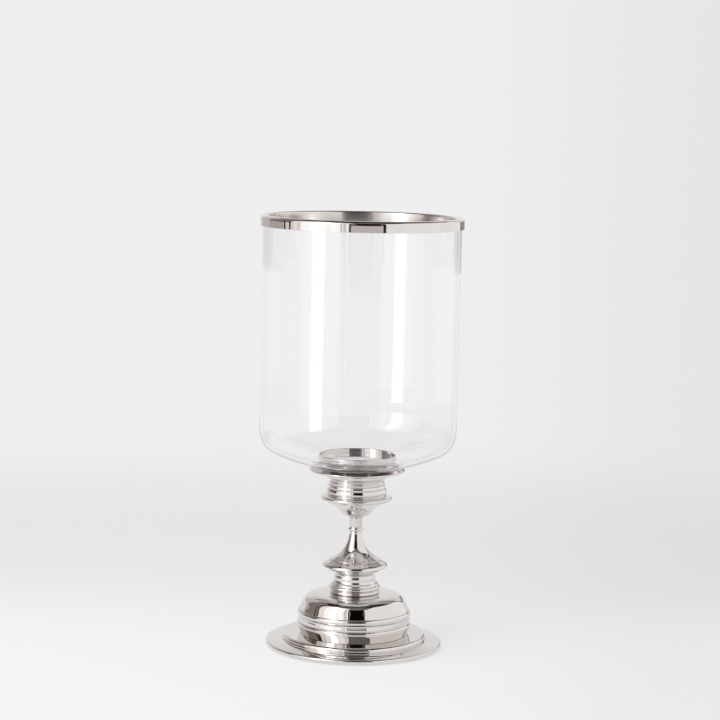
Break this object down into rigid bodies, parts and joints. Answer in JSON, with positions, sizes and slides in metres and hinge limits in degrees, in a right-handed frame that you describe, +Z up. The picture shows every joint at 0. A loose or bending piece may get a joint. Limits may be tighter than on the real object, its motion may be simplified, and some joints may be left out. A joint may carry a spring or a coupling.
{
  "type": "hurricane candle lantern",
  "caption": "Free-standing hurricane lantern: a tall clear glass cylinder with a metal-banded rim, on a turned nickel stem and domed foot, with a shallow candle cup inside.",
  "frame": {"origin": "centre of the foot, on the surface that the lantern stands on", "axes": "+Z up along the stem and the glass"},
  "size_m": [0.217, 0.217, 0.4639],
  "materials": {
    "nickel": "polished nickel plate on brass",
    "zinc_steel": "zinc-plated steel",
    "clear_glass": "clear blown glass",
    "soft_ring": "translucent silicone ring",
    "cement": "hard white bedding",
    "felt": "dark pressed felt"
  },
  "bodies": {
    "stand": {"foot_pads": "felt", "foot_plate": "nickel", "drum": "nickel", "dome_cap": "nickel", "stack_ring": "nickel", "spool": "nickel", "knop_disc": "nickel", "trumpet": "nickel", "collar_ring": "nickel", "neck_ferrule": "nickel", "vase_bowl": "nickel", "vase_collar": "nickel", "saucer": "nickel", "tie_rod": "zinc_steel", "foot_washer": "zinc_steel", "spring_washer": "zinc_steel", "foot_nut": "zinc_steel", "gallery_washer": "zinc_steel", "gallery_nut": "zinc_steel", "lower_gasket": "soft_ring"},
    "shade": {"glass_shade": "clear_glass", "rim_band": "nickel", "rim_cement": "cement"},
    "cup": {"candle_cup": "nickel", "cup_boss": "nickel", "upper_gasket": "soft_ring"}
  },
  "joints": [
    {"name": "shade_lift", "type": "slide", "parent": "stand", "child": "shade", "axis": [0, 0, 1], "range_m": [0, 0.12]},
    {"name": "cup_lift", "type": "slide", "parent": "shade", "child": "cup", "axis": [0, 0, 1], "range_m": [0, 0.3]}
  ]
}
